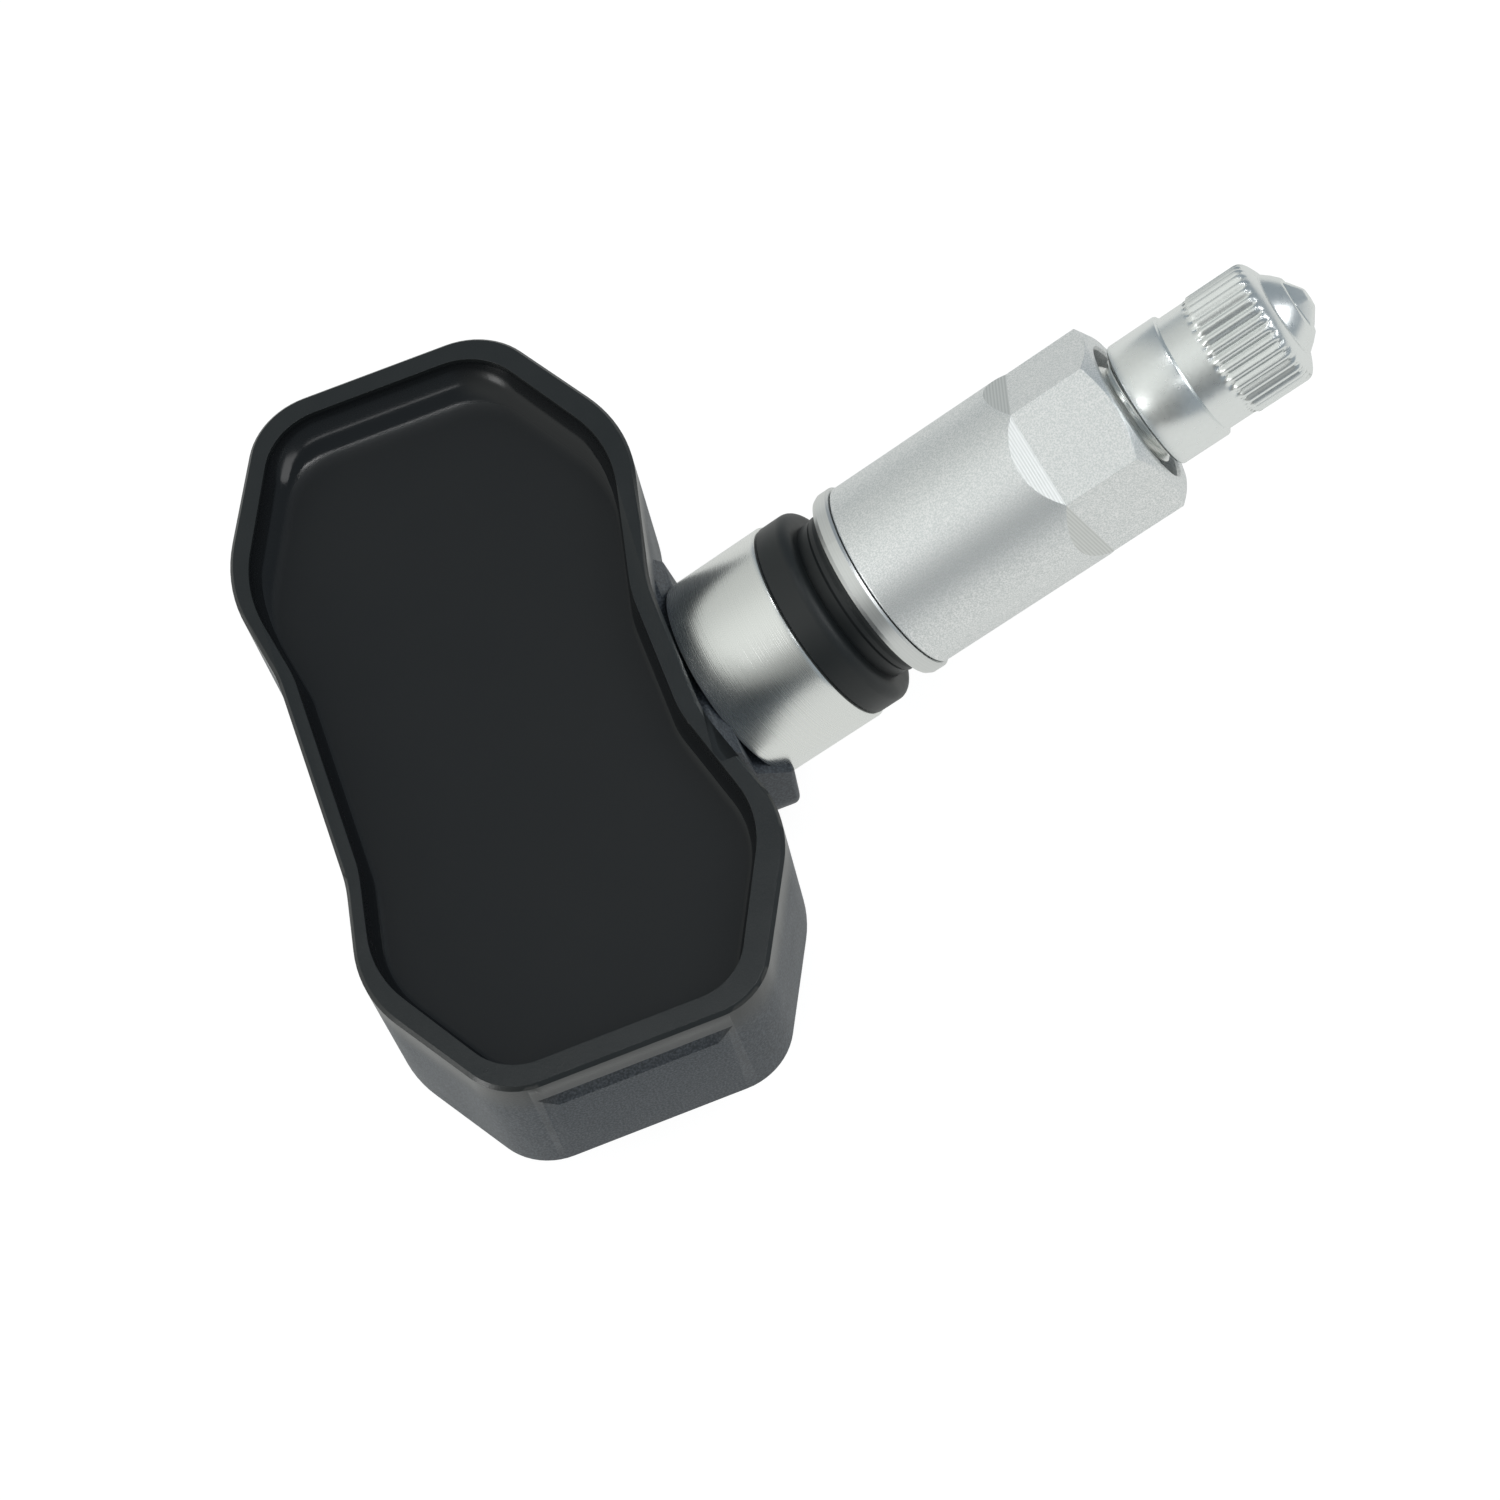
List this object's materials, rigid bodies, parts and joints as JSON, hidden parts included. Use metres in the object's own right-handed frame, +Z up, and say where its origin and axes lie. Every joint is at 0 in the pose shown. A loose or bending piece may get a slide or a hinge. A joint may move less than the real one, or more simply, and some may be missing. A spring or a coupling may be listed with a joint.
{
  "type": "tyre pressure sensor",
  "caption": "Waisted potted sensor tray with an angled clamp-in valve stem, rubber grommet, washer, hexagon collar nut and knurled dust cap.",
  "frame": {"origin": "on the middle plane of the stem, under the point where the stem's axis crosses the tray's inner edge, at the belly's underside", "axes": "+Z up out of the potted face, +X the way the stem leans, +Y along the tray"},
  "size_m": [0.073, 0.0564, 0.0289],
  "materials": {
    "black_plastic": "moulded, fine grained",
    "potting_resin": "cast, glossy edge",
    "aluminium_turned": "turned bright",
    "aluminium_blasted": "satin blasted",
    "rubber_black": "smooth moulded",
    "steel": "satin",
    "nickel": "bright nickel",
    "brass": "turned",
    "board_green": "solder resist",
    "chip_black": "moulded",
    "ferrite": "sintered",
    "copper": "enamelled wire",
    "ceramic": "fired"
  },
  "bodies": {
    "sensor": {"housing": "black_plastic", "potting": "potting_resin", "valve_stem": "aluminium_turned", "circuit_board": "board_green", "battery": "steel", "positive_tab": "nickel", "negative_tab": "nickel", "pressure_sensor": "chip_black", "controller": "chip_black", "crystal": "steel", "capacitor_1": "ceramic", "capacitor_2": "ceramic", "coil_core": "ferrite", "coil_winding": "copper", "port_sleeve": "rubber_black", "aerial_strip": "nickel", "grommet": "rubber_black", "core_plug": "brass", "core_sleeve": "brass", "core_gasket": "rubber_black", "core_spring": "steel"},
    "pin_body": {"core_pin": "brass", "core_cup": "rubber_black"},
    "washer_body": {"washer": "steel"},
    "nut_body": {"nut": "aluminium_blasted"},
    "seal_body": {"cap_seal": "rubber_black"},
    "cap_body": {"cap": "nickel"}
  },
  "joints": [
    {"name": "core_press", "type": "slide", "parent": "sensor", "child": "pin_body", "axis": [-0.9153, 0, -0.4027], "range_m": [0, 0.0012], "stiffness_N_per_m": 1500, "springref_m": -0.001, "deforming": ["core_spring"]},
    {"name": "nut_travel", "type": "slide", "parent": "sensor", "child": "washer_body", "axis": [0.9153, 0, 0.4027], "range_m": [0, 0.0003]},
    {"name": "nut_turn", "type": "hinge", "parent": "washer_body", "child": "nut_body", "pos_m": [0.0238, 0, 0.01624], "axis": [0.9153, 0, 0.4027], "range_deg": [0, 136.3]},
    {"name": "cap_travel", "type": "slide", "parent": "sensor", "child": "seal_body", "axis": [0.9153, 0, 0.4027], "range_m": [0, 0.005]},
    {"name": "cap_turn", "type": "hinge", "parent": "seal_body", "child": "cap_body", "pos_m": [0.03936, 0, 0.02309], "axis": [0.9153, 0, 0.4027], "range_deg": [0, 2268.7]}
  ],
  "couplings": [
    {"joint": "nut_turn", "follows": "nut_travel", "rad_per_m": 7915.8},
    {"joint": "cap_turn", "follows": "cap_travel", "rad_per_m": 7915.8}
  ]
}
